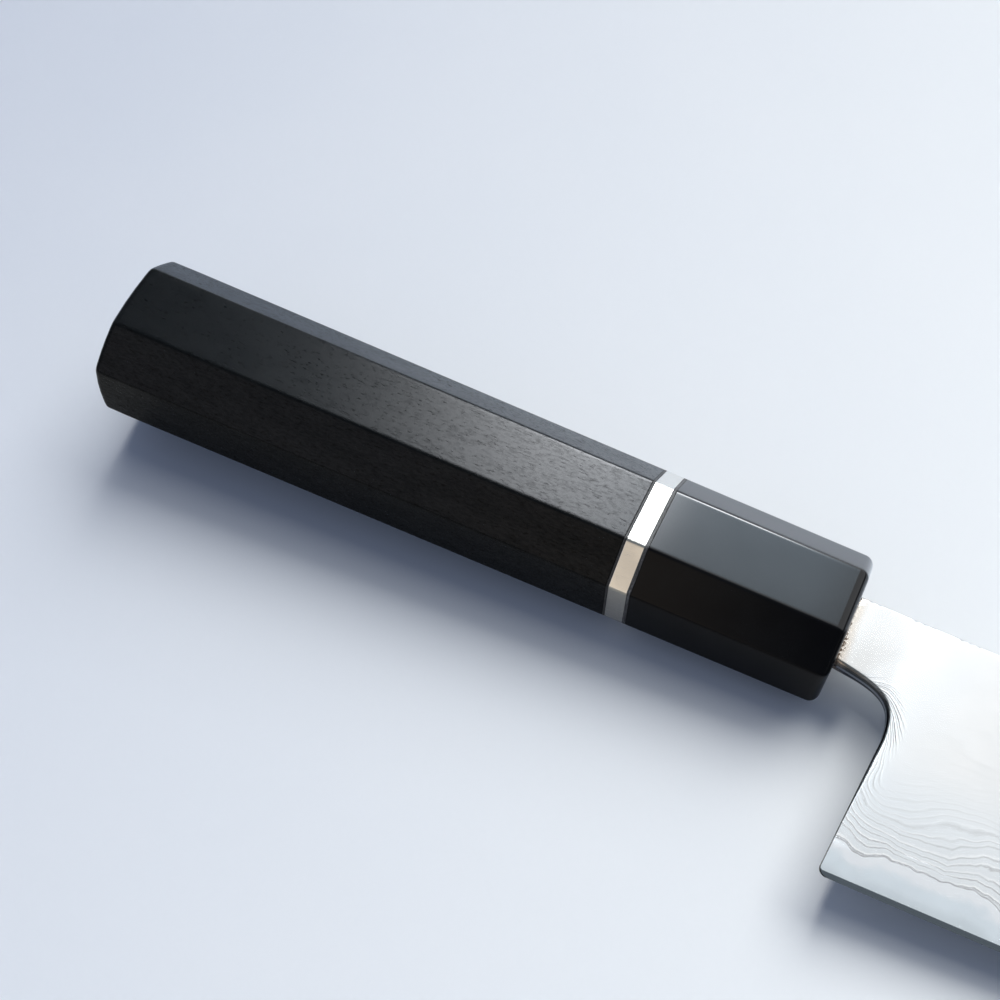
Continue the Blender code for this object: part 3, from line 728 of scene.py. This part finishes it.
class Graph:
    """Short words for building a node tree."""

    def __init__(self, tree):
        self.tree = tree

    def fill(self, socket, value):
        """Link a socket to another one, or set its value."""
        if isinstance(value, bpy.types.NodeSocket):
            self.tree.links.new(value, socket)
        else:
            socket.default_value = value

    def node(self, kind, inputs=None, **settings):
        made = self.tree.nodes.new(kind)
        for key, value in settings.items():
            setattr(made, key, value)
        for key, value in (inputs or {}).items():
            self.fill(made.inputs[key], value)
        return made

    def math(self, operation, *values, clamp=False):
        inputs = dict(enumerate(values))
        return self.node("ShaderNodeMath", inputs, operation=operation, use_clamp=clamp).outputs[0]

    def times(self, *values):
        """The product of two or more values."""
        product = values[0]
        for value in values[1:]:
            product = self.math("MULTIPLY", product, value)
        return product

    def total(self, start, *terms):
        """A start value and what is added to it, each as (value, factor)."""
        for value, factor in terms:
            start = self.math("MULTIPLY_ADD", value, factor, start)
        return start

    def ramp(self, value, low, high, to_low=0.0, to_high=1.0, smooth=True):
        kind = "SMOOTHSTEP" if smooth else "LINEAR"
        inputs = {"Value": value, "From Min": low, "From Max": high, "To Min": to_low,
                  "To Max": to_high}
        made = self.node("ShaderNodeMapRange", inputs, interpolation_type=kind, clamp=True)
        return made.outputs[0]

    def window(self, value, rise_start, rise_end, fall_start, fall_end):
        """One inside a stretch of values, fading to nothing at both of its ends."""
        rising = self.ramp(value, rise_start, rise_end)
        return self.times(rising, self.ramp(value, fall_end, fall_start))

    def mix(self, share, first, second, blend="MIX"):
        """A mix of two colours, each a socket or red, green and blue."""
        inputs = {0: share}
        for key, colour in ((6, first), (7, second)):
            inputs[key] = (*colour, 1.0) if isinstance(colour, tuple) else colour
        return self.node("ShaderNodeMix", inputs, data_type="RGBA", blend_type=blend).outputs[2]

    def coated(self, colour, *coats):
        """A colour and what is laid over it in turn, each as (share, colour)."""
        for share, coat in coats:
            colour = self.mix(share, colour, coat)
        return colour

    def noise(self, vector, scale, detail, roughness=0.5):
        inputs = {"Vector": vector, "Scale": scale, "Detail": detail, "Roughness": roughness}
        return self.node("ShaderNodeTexNoise", inputs).outputs[0]

    def parts(self, vector):
        return self.node("ShaderNodeSeparateXYZ", {0: vector}).outputs

    def joined(self, *parts):
        return self.node("ShaderNodeCombineXYZ", dict(enumerate(parts))).outputs[0]

    def vector_math(self, operation, inputs):
        return self.node("ShaderNodeVectorMath", inputs, operation=operation).outputs[0]


def new_group(name, inputs, outputs):
    """A shader node group. Inputs come with their start values, where None stands for a vector."""
    group = bpy.data.node_groups.new(name, "ShaderNodeTree")
    for label, value in inputs.items():
        kind = "NodeSocketVector" if value is None else "NodeSocketFloat"
        socket = group.interface.new_socket(label, in_out="INPUT", socket_type=kind)
        if value is not None:
            socket.default_value = value
    for label in outputs:
        group.interface.new_socket(label, in_out="OUTPUT", socket_type="NodeSocketFloat")
    graph = Graph(group)
    return group, graph, graph.node("NodeGroupInput").outputs, graph.node("NodeGroupOutput").inputs


def hairline_group():
    """Fine straight scratches along the work, as a mask and as a height."""
    group, graph, source, sink = new_group(
        "hairlines", {"Vector": None, "Length": 0.15, "Closeness": 9.0, "Seed": 0.0},
        ["Mask", "Height"])
    x, y, z = graph.parts(source["Vector"])
    along = graph.times(x, graph.times(source["Length"], 1 / MM))
    closeness = graph.times(source["Closeness"], 1 / MM)
    vector = graph.joined(along, graph.times(y, closeness), graph.times(z, closeness))
    fine = graph.noise(graph.vector_math("ADD", {0: vector, 1: source["Seed"]}), 1.0, 2.0, 0.6)
    graph.fill(sink["Mask"], graph.ramp(fine, 0.56, 0.74))
    graph.fill(sink["Height"], fine)
    return group


def cloud_group():
    """Slow unevenness of a surface, from soft noise of a size in millimetres."""
    group, graph, source, sink = new_group(
        "handling_clouds", {"Vector": None, "Size": 20.0}, ["Mask"])
    wide = graph.noise(source["Vector"], graph.math("DIVIDE", 1 / MM, source["Size"]), 3.0)
    graph.fill(sink["Mask"], graph.ramp(wide, 0.32, 0.68))
    return group


def shaded_coat_group():
    """Coat per facet: full on top and far facets, less on the rest, as painted shade."""
    group, graph, source, sink = new_group("coat_shade", {"Vector": None, "Left": 0.4}, ["Polish"])
    x, y, z = graph.parts(source["Vector"])
    shares = []
    for place, front, butt in ((y, FRONT_WIDTH, BUTT_WIDTH), (z, FRONT_THICKNESS, BUTT_THICKNESS)):
        half = graph.total(front / 2, (x, (front - butt) / 2 / HANDLE_LENGTH))
        shares.append(graph.math("DIVIDE", place, half))
    around = graph.math("ADD", *shares)
    # Painted shade: the near and lower facets keep only Left of the coat, so they stay dark
    graph.fill(sink["Polish"], graph.ramp(around, 0.47, 0.54, source["Left"], 1.0))
    return group


HAIRLINES = hairline_group()
CLOUDS = cloud_group()
SHADED_COAT = shaded_coat_group()


class Finish(Graph):
    """A Principled material with even values on the shader's own sockets, in the knife's axes."""

    def __init__(self, name, colour, roughness, metallic=0.0, **sockets):
        self.material = bpy.data.materials.new(name)
        self.material.use_nodes = True
        super().__init__(self.material.node_tree)
        self.shader = self.tree.nodes["Principled BSDF"]
        self.feed(Base_Color=(*colour, 1.0), Roughness=roughness, Metallic=metallic, **sockets)
        back = KNIFE_REST.inverted()
        self.place = self.node("ShaderNodeMapping", {
            "Vector": self.node("ShaderNodeTexCoord").outputs["Object"],
            "Location": back.translation, "Rotation": back.to_euler()}).outputs[0]

    def feed(self, **sockets):
        """Fill sockets of the shader, named with underscores for spaces."""
        for key, value in sockets.items():
            self.fill(self.shader.inputs[key.replace("_", " ")], value)

    def bump(self, height, distance, strength):
        inputs = {"Height": height, "Distance": distance, "Strength": strength}
        self.feed(Normal=self.node("ShaderNodeBump", inputs).outputs[0])

    def use(self, group, **inputs):
        """The outputs of a shared group at the places of this material."""
        inputs["Vector"] = self.place
        return self.node("ShaderNodeGroup", inputs, node_tree=group).outputs

    def stored(self, name):
        """A value stored on the points of the mesh."""
        return self.node("ShaderNodeAttribute", attribute_name=name).outputs["Fac"]

    def stretched(self, scale):
        """Places scaled unevenly, in turns per millimetre."""
        per_metre = tuple(value / MM for value in scale)
        return self.node("ShaderNodeMapping", {"Vector": self.place, "Scale": per_metre}).outputs[0]

    def grain(self, scale, detail, roughness=0.5):
        """Noise that is longer or shorter along each axis, in turns per millimetre."""
        return self.noise(self.stretched(scale), 1.0, detail, roughness)


def ebony_material():
    """Close black wood: satin, softly mottled, with short pores and pale flecks along the grain."""
    wood = Finish("ebony_oiled", (0.004, 0.004, 0.004), 0.3, Specular_IOR_Level=0.03,
                  Coat_IOR=1.365, Coat_Roughness=0.2)
    pores = wood.ramp(wood.grain((1.1, 3.6, 3.6), 2.0, 0.6), 0.57, 0.65)
    flecks = wood.ramp(wood.grain((0.8, 2.7, 2.7), 3.0, 0.75), 0.37, 0.63)
    mottle = wood.ramp(wood.grain((0.12, 0.4, 0.4), 3.0, 0.55), 0.38, 0.64)
    base = wood.mix(mottle, (0.0022, 0.003, 0.0038), (0.0036, 0.0044, 0.0052))
    sheen = wood.total(0.6, (flecks, 0.5), (mottle, 0.14), (pores, -0.22))
    # Less coat on the near and lower facets: painted shade
    shaded_coat = wood.use(SHADED_COAT, Left=0.4)["Polish"]
    wood.feed(Base_Color=wood.mix(pores, base, (0.0015, 0.0015, 0.0015)),
              Roughness=wood.total(0.22, (flecks, 0.06), (pores, 0.25)),
              Coat_Weight=wood.math("MULTIPLY", sheen, shaded_coat, clamp=True))
    wood.bump(wood.math("SUBTRACT", flecks, pores), 0.008 * MM, 0.7)
    return wood.material


def horn_material():
    """Polished black horn with a few hairlines and a faint blue-grey cloud."""
    horn = Finish("black_horn_polished", (0.003, 0.003, 0.004), 0.16, Specular_IOR_Level=0.03,
                  Coat_IOR=1.4, Coat_Roughness=0.09)
    clouds = horn.use(CLOUDS, Size=9.0)["Mask"]
    lines = horn.use(HAIRLINES, Length=0.1, Closeness=9.0, Seed=8.0)
    sheen = horn.total(0.95, (clouds, 0.05), (lines["Mask"], -0.07))
    # Less coat on the near and lower facets: painted shade
    shaded_coat = horn.use(SHADED_COAT, Left=0.33)["Polish"]
    horn.feed(Base_Color=horn.mix(clouds, (0.002, 0.002, 0.003), (0.0036, 0.004, 0.005)),
              Roughness=horn.total(0.14, (clouds, 0.04), (lines["Mask"], 0.07)),
              Coat_Weight=horn.math("MULTIPLY", sheen, shaded_coat, clamp=True))
    horn.bump(lines["Height"], 0.003 * MM, 0.6)
    return horn.material


def liner_material(name, colour, pale):
    """Pressed fibre sheet, cut across: a fine speckle of pale and dark threads."""
    sheet = Finish(name, colour, 0.45)
    fibres = sheet.grain((6.0, 2.2, 2.2), 4.0, 0.7)
    layers = sheet.grain((9.0, 0.3, 0.3), 1.0)
    threads = sheet.times(sheet.ramp(fibres, 0.38, 0.66), sheet.ramp(layers, 0.35, 0.6))
    sheet.feed(Base_Color=sheet.mix(threads, colour, pale),
               Roughness=sheet.ramp(fibres, 0.3, 0.7, 0.36, 0.55))
    sheet.bump(fibres, 0.01 * MM, 0.7)
    return sheet.material


def nickel_silver_material():
    """Warm white metal, softly clouded and rubbed smooth along the handle."""
    metal = Finish("nickel_silver_rubbed", (0.80, 0.78, 0.73), 0.2, metallic=1.0)
    lines = metal.use(HAIRLINES, Length=0.3, Closeness=14.0, Seed=2.0)
    clouds = metal.use(CLOUDS, Size=5.0)["Mask"]
    metal.feed(Base_Color=metal.mix(clouds, (0.81, 0.79, 0.745), (0.77, 0.74, 0.685)),
               Roughness=metal.total(0.17, (clouds, 0.05), (lines["Mask"], 0.1)))
    metal.bump(lines["Height"], 0.002 * MM, 0.6)
    return metal.material


STAIN_BROWN = (0.12, 0.075, 0.045)


def stain_at_mouth(steel):
    """Brown glue and the haze of water on the steel within about two millimetres of the handle."""
    x, y = steel.parts(steel.place)[:2]
    ahead = steel.times(x, 1 / MM)
    crumbs = steel.grain((3.0, 2.2, 2.2), 4.0, 0.75)
    spread = steel.grain((0.6, 0.35, 0.35), 2.0)
    reach = steel.times(spread, 3.6, steel.ramp(y, 6.0 * MM, -7.0 * MM, 0.25, 1.0))
    fading = steel.math("SUBTRACT", 1.0, steel.math("DIVIDE", ahead, reach), clamp=True)
    haze = steel.times(steel.ramp(ahead, 2.4, 0.4), steel.ramp(spread, 0.2, 0.6, 0.5, 1.0))
    return steel.ramp(steel.math("ADD", crumbs, steel.times(fading, 0.42)), 0.72, 0.92), haze


def rear_border_shade(steel, at_choil):
    """Painted shade on the rear border: a hair's breadth along the heel, wider round the choil."""
    width = steel.ramp(steel.parts(steel.place)[1], -17.5 * MM, -13.0 * MM, 0.2, at_choil)
    return steel.ramp(steel.math("DIVIDE", steel.stored("rear_gap"), width), 1.0, 0.5)


def patterned_steel_material():
    """Etched layers: each weld between sheets shows as a thin dark groove of uneven strength."""
    steel = Finish("patterned_steel_etched", (0.80, 0.80, 0.80), 0.24, metallic=1.0)
    depth = steel.stored("layer_depth")
    ahead, up = steel.parts(steel.place)[:2]

    # The number of the sheet that shows, and how far through it the surface lies
    jitter = steel.math("SUBTRACT", steel.grain((0.9, 1.4, 1.4), 3.0, 0.6), 0.5)
    jitter = steel.times(jitter, 0.012)
    uneven = steel.node("ShaderNodeTexNoise", {"W": depth, "Scale": 11.0, "Detail": 1.0},
                        noise_dimensions="1D").outputs[0]
    count = steel.math("DIVIDE", steel.math("ADD", depth, jitter), LAYER_PITCH / MM)
    count = steel.total(count, (uneven, 1.7))
    sheet, within = steel.math("FLOOR", count), steel.math("FRACT", count)

    # How strongly the weld of each sheet is etched, fading in and out along it
    own = steel.node("ShaderNodeTexWhiteNoise", {"W": sheet}, noise_dimensions="1D").outputs[0]
    x, y, z = steel.parts(steel.stretched((0.11, 0.2, 0.2)))
    fading = steel.noise(steel.joined(x, steel.total(y, (sheet, 7.3)), z), 1.0, 2.0)
    fading = steel.ramp(fading, 0.28, 0.52, 0.15, 1.0)
    strength = steel.times(steel.ramp(own, 0.0, 1.0, 0.55, 1.0), fading)

    # It is plain near the spine, and clear round the choil
    rear_width = steel.ramp(ahead, 2.0 * MM, 10.0 * MM, 0.3, 3.4)
    near_rear = steel.ramp(steel.math("DIVIDE", steel.stored("rear_gap"), rear_width), 1.0, 0.35)
    showing = steel.math("MAXIMUM", steel.ramp(depth, 0.95, 0.42, 0.08, 1.0), near_rear)
    round_choil = steel.times(near_rear, steel.ramp(up, -19.0 * MM, -14.0 * MM))
    strength = steel.math("MAXIMUM", steel.times(strength, showing), round_choil)
    from_middle = steel.math("ABSOLUTE", steel.math("SUBTRACT", within, 0.5))
    groove = steel.math("MULTIPLY", steel.ramp(from_middle, 0.30, 0.47), strength, clamp=True)
    # A paler line beside each groove: the layer's own tone with a painted highlight of the etched
    # relief
    lip_highlight = steel.times(steel.window(within, 0.1, 0.2, 0.25, 0.45), strength)

    bright = steel.coated(
        steel.mix(steel.use(CLOUDS, Size=11.0)["Mask"], (0.635, 0.63, 0.62), (0.61, 0.61, 0.605)),
        (steel.ramp(up, -12.0 * MM, -26.0 * MM), (0.61, 0.63, 0.642)),
        (lip_highlight, (0.74, 0.745, 0.745)),
        (steel.ramp(ahead, 9.0 * MM, 3.0 * MM, 0.0, 0.6), (0.55, 0.545, 0.53)))
    # Round the choil's turn the grooves go near black: etched lines with painted shade where the
    # steel turns away
    choil_turn_shade = steel.ramp(up, -19.0 * MM, -13.0 * MM, 0.42, 0.06)
    dark = steel.mix(near_rear, (0.41, 0.41, 0.41), choil_turn_shade)
    at_core = steel.times(steel.ramp(steel.stored("weld_gap"), 0.28, 0.1),
                          steel.ramp(jitter, -0.004, 0.004, 0.6, 1.0))
    stain, haze = stain_at_mouth(steel)
    colour = steel.coated(
        steel.mix(groove, bright, dark),
        (at_core, (0.33, 0.33, 0.335)),
        # Painted shade along the rear border, where the steel turns down and away
        (rear_border_shade(steel, 0.34), (0.10, 0.105, 0.11)),
        (haze, (0.50, 0.44, 0.38)),
        (stain, STAIN_BROWN))
    steel.feed(Base_Color=colour, Roughness=steel.total(0.16, (groove, 0.06), (stain, 0.4)),
               Metallic=steel.math("SUBTRACT", 1.0, steel.times(stain, 0.8)))
    steel.bump(steel.math("SUBTRACT", steel.times(stain, 0.8), groove), 0.005 * MM, 0.8)
    return steel.material


def core_steel_material():
    """The hard core: plain and fine-ground, darker along the edge and paler towards its weld."""
    steel = Finish("core_steel_ground", (0.57, 0.60, 0.63), 0.16, metallic=1.0)
    lines = steel.use(HAIRLINES, Length=0.35, Closeness=9.0, Seed=5.0)
    clouds = steel.use(CLOUDS, Size=6.0)["Mask"]
    weld_gap = steel.stored("weld_gap")
    halo = steel.total(weld_gap, (steel.grain((0.35, 0.6, 0.6), 2.0), 2.4))
    low = steel.ramp(steel.parts(steel.place)[1], -14.5 * MM, -17.5 * MM)
    colour = steel.coated(
        steel.mix(clouds, (0.565, 0.615, 0.65), (0.55, 0.595, 0.63)),
        (steel.ramp(weld_gap, -3.4, -5.4), (0.50, 0.545, 0.575)),
        (steel.ramp(halo, -1.6, 0.4, 0.0, 0.75), (0.66, 0.67, 0.685)),
        (steel.ramp(halo, -0.25, 0.0, 0.0, 0.25), (0.68, 0.69, 0.70)),
        (steel.times(lines["Mask"], 0.35), (0.66, 0.68, 0.70)),
        # Painted shade along the rear border, low on the heel
        (steel.times(rear_border_shade(steel, 0.2), low), (0.14, 0.145, 0.15)),
        (stain_at_mouth(steel)[0], STAIN_BROWN))
    steel.feed(Base_Color=colour,
               Roughness=steel.total(0.14, (clouds, 0.03), (lines["Mask"], 0.08)))
    steel.bump(lines["Height"], 0.002 * MM, 0.6)
    return steel.material


def resin_material():
    """Brown-black glue, glossy where it pooled and dull with dust elsewhere."""
    glue = Finish("glue_resin", (0.05, 0.03, 0.022), 0.35)
    crumbs = glue.grain((2.6, 2.6, 2.6), 4.0, 0.7)
    dust = glue.ramp(crumbs, 0.4, 0.68)
    glue.feed(Base_Color=glue.mix(dust, (0.03, 0.018, 0.014), (0.30, 0.19, 0.12)),
              Roughness=glue.ramp(crumbs, 0.35, 0.7, 0.22, 0.6))
    glue.bump(crumbs, 0.05 * MM, 0.8)
    return glue.material


def dowel_material():
    """Pale close-grained wood of the hidden dowel."""
    wood = Finish("dowel_wood_turned", (0.55, 0.40, 0.24), 0.6)
    grain = wood.grain((0.05, 1.6, 1.6), 4.0, 0.6)
    late = wood.ramp(grain, 0.35, 0.65)
    wood.feed(Base_Color=wood.mix(late, (0.60, 0.45, 0.28), (0.42, 0.29, 0.16)),
              Roughness=wood.ramp(grain, 0.3, 0.7, 0.5, 0.7))
    wood.bump(grain, 0.05 * MM, 0.5)
    return wood.material


# The knife

def dress_handle():
    add_piece("horn_ferrule_polished", ferrule_mesh(), horn_material(), "horn_ferrule")
    front = FERRULE_LENGTH + GLUE_LINE
    bands = [
        ("fibre_liner_front", FRONT_LINER, "front_liner", "grey_liner",
         liner_material("fibre_grey", (0.03, 0.03, 0.032), (0.16, 0.16, 0.165))),
        ("ring_nickel_silver", SPACER_LENGTH, "spacer_ring", "nickel_silver",
         nickel_silver_material()),
        ("fibre_liner_rear", REAR_LINER, "rear_liner", "dark_liner",
         liner_material("fibre_dark", (0.012, 0.012, 0.013), (0.07, 0.07, 0.07))),
    ]
    for name, length, node, slot_name, material in bands:
        mesh = handle_band(name + "_turned", front, front + length)
        add_piece(name, mesh, material, node)
        front += length + GLUE_LINE
    add_piece("handle_body_ebony", handle_body_mesh(front), ebony_material(), "handle_body")
    add_piece("mouth_seal_glue", seal_mesh(), resin_material(), "mouth_seal")
    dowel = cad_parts["dowel"]
    dowel.data.materials.clear()
    dowel.data.materials.append(dowel_material())


def dress_blade():
    steel, core = patterned_steel_material(), core_steel_material()
    meshes = blade_meshes()
    add_piece("cladding_right_etched", meshes["right_cladding"], steel, "right_cladding")
    add_piece("cladding_left_etched", meshes["left_cladding"], steel, "left_cladding")
    add_piece("blade_core_ground", meshes["blade_core"], core, "blade_core",
              smooth_angle=10)


# Table, light and camera

def lay_table():
    """A pale sheet, painted darker and bluer towards -x, with painted tones for reflections."""
    reach = 6.0
    corners = [(x * reach, y * reach, 0) for x, y in ((-1, -1), (1, -1), (1, 1), (-1, 1))]
    mesh = mesh_from("table_sheet", corners, [(0, 1, 2, 3)])
    paper = Finish("table_paper", (0.8, 0.82, 0.86), 0.7)
    x, y = paper.parts(paper.place)[:2]
    # Painted light falloff: darker and bluer towards -x, a little darker towards +y
    along = paper.ramp(x, -0.28, 0.04, smooth=False)
    away = paper.ramp(y, -0.11, 0.17, 1.067, 0.89, smooth=False)
    tone = paper.mix(along, (0.50, 0.556, 0.67), (0.855, 0.90, 0.932))
    tone = paper.mix(1.0, tone, away, blend="MULTIPLY")
    mottle = paper.ramp(paper.noise(paper.place, 22.0, 3.0), 0.35, 0.65, 0.0, 0.03)
    tone = paper.mix(mottle, tone, (0.92, 0.92, 0.92))
    # Painted reflections: glossy rays see the paper dark on the near side and towards -x
    far_reflection_tone = paper.mix(paper.ramp(x, -0.145, -0.03), (0.32, 0.37, 0.45), (0.83, 0.905, 1.0))
    painted_reflection_tone = paper.mix(paper.ramp(y, -0.03, 0.01), (0.30, 0.30, 0.285), far_reflection_tone)
    glossy = paper.node("ShaderNodeLightPath").outputs["Is Glossy Ray"]
    paper.feed(Base_Color=paper.mix(glossy, tone, painted_reflection_tone))
    mesh.materials.append(paper.material)
    table = add_object("table_sheet", mesh)


def hang_lamps():
    """A narrow and a wide soft box, high behind the knife. The world holds their reflections."""
    height = 1.6
    # Name, lean over height, size over height, and power at one metre
    boxes = [("narrow_soft_box", (-0.22, 0.65), (0.14, 1.2), 6.6),
             ("wide_soft_box", (0.32, 1.1), (0.9, 1.5), 20.0)]
    for name, lean, size, power in boxes:
        lamp = bpy.data.lights.new(name, "AREA")
        lamp.shape = "RECTANGLE"
        lamp.size = size[0] * height
        lamp.size_y = size[1] * height
        lamp.energy = power * height ** 2
        lamp.color = (1.0, 0.97, 0.90)
        holder = add_object(name, lamp)
        holder.location = (lean[0] * height, lean[1] * height, height)
        holder.visible_glossy = False


def paint_room():
    """The room: weak bluish fill, pale to the camera, and the studio's panels in reflections."""
    world = bpy.data.worlds.new("studio")
    bpy.context.scene.world = world
    world.use_nodes = True
    room = Graph(world.node_tree)
    x, y, z = room.parts(room.node("ShaderNodeTexCoord").outputs["Generated"])
    safe_z = room.math("MAXIMUM", z, 0.04)
    lean_x, lean_y = room.math("DIVIDE", x, safe_z), room.math("DIVIDE", y, safe_z)
    band = room.window(lean_y, 0.38, 0.72, 1.0, 1.15)
    ceiling = room.times(room.window(lean_x, -0.35, -0.1, 2.0, 4.0), room.ramp(lean_y, 0.13, 0.27),
                         room.ramp(lean_y, 0.33, 0.41, 1.03, 1.27))
    behind = room.times(room.window(lean_x, -0.6, -0.2, 0.1, 0.14), room.ramp(lean_y, 0.3, 0.5))
    shoulder = room.times(room.window(lean_x, -0.14, -0.04, 0.07, 0.13), band)
    rim = room.times(room.window(lean_x, -0.09, -0.04, 0.0, 0.085),
                     room.window(lean_y, 0.7, 0.8, 1.05, 1.15))
    low_glow = room.ramp(y, 0.75, 0.9)
    panel = room.times(room.window(lean_x, -0.335, -0.11, -0.10, -0.03), band)
    lights = [(ceiling, (0.99, 1.0, 1.01), 1.0), (behind, (0.75, 1.05, 1.3), 0.36),
              (shoulder, (0.76, 1.0, 1.22), 3.4), (rim, (1.0, 1.0, 1.0), 27.0),
              (low_glow, (0.9, 1.0, 1.1), 0.7), (panel, (0.98, 1.0, 1.04), 25.0)]
    reflected = (0.15, 0.17, 0.19)
    for share, colour, strength in lights:
        light = room.vector_math("SCALE", {0: colour, "Scale": room.times(share, strength)})
        reflected = room.vector_math("ADD", {0: light, 1: reflected})
    wall = room.times(room.ramp(y, -0.45, -0.8), room.ramp(x, 0.07, -0.075))
    wall_tone = room.mix(room.ramp(x, -0.11, -0.2), (0.92, 0.80, 0.66), (0.76, 0.75, 0.79))
    paths = room.node("ShaderNodeLightPath").outputs
    reflected = room.mix(wall, reflected, wall_tone)
    colour = room.mix(paths["Is Glossy Ray"], (0.188, 0.219, 0.302), reflected)
    colour = room.mix(paths["Is Camera Ray"], colour, (0.80, 0.84, 0.90))
    background = world.node_tree.nodes["Background"].inputs
    room.fill(background["Color"], colour)
    background["Strength"].default_value = 1.0


def set_camera():
    """The photograph's view: steeply down from the near side, the knife running down right."""
    lens = bpy.data.cameras.new("view")
    lens.sensor_width = 36.0
    lens.lens = 52.656
    lens.clip_start = 0.01
    lens.clip_end = 50.0
    camera = add_object("view", lens)
    right = Vector((0.8977392, 0.4405258, 0.0011458))
    down = Vector((0.3807012, -0.7745098, -0.5051744))
    ahead = Vector((-0.2216550, 0.4539511, -0.8630165))
    place = Vector((-5.832, -114.309, 212.518)) * MM
    turned = Matrix((right, -down, -ahead)).transposed().to_4x4()
    camera.matrix_world = KNIFE_REST @ Matrix.Translation(place) @ turned
    bpy.context.scene.camera = camera


dress_handle()
dress_blade()
lay_table()
hang_lamps()
paint_room()
set_camera()
bpy.context.scene.view_settings.view_transform = "Standard"
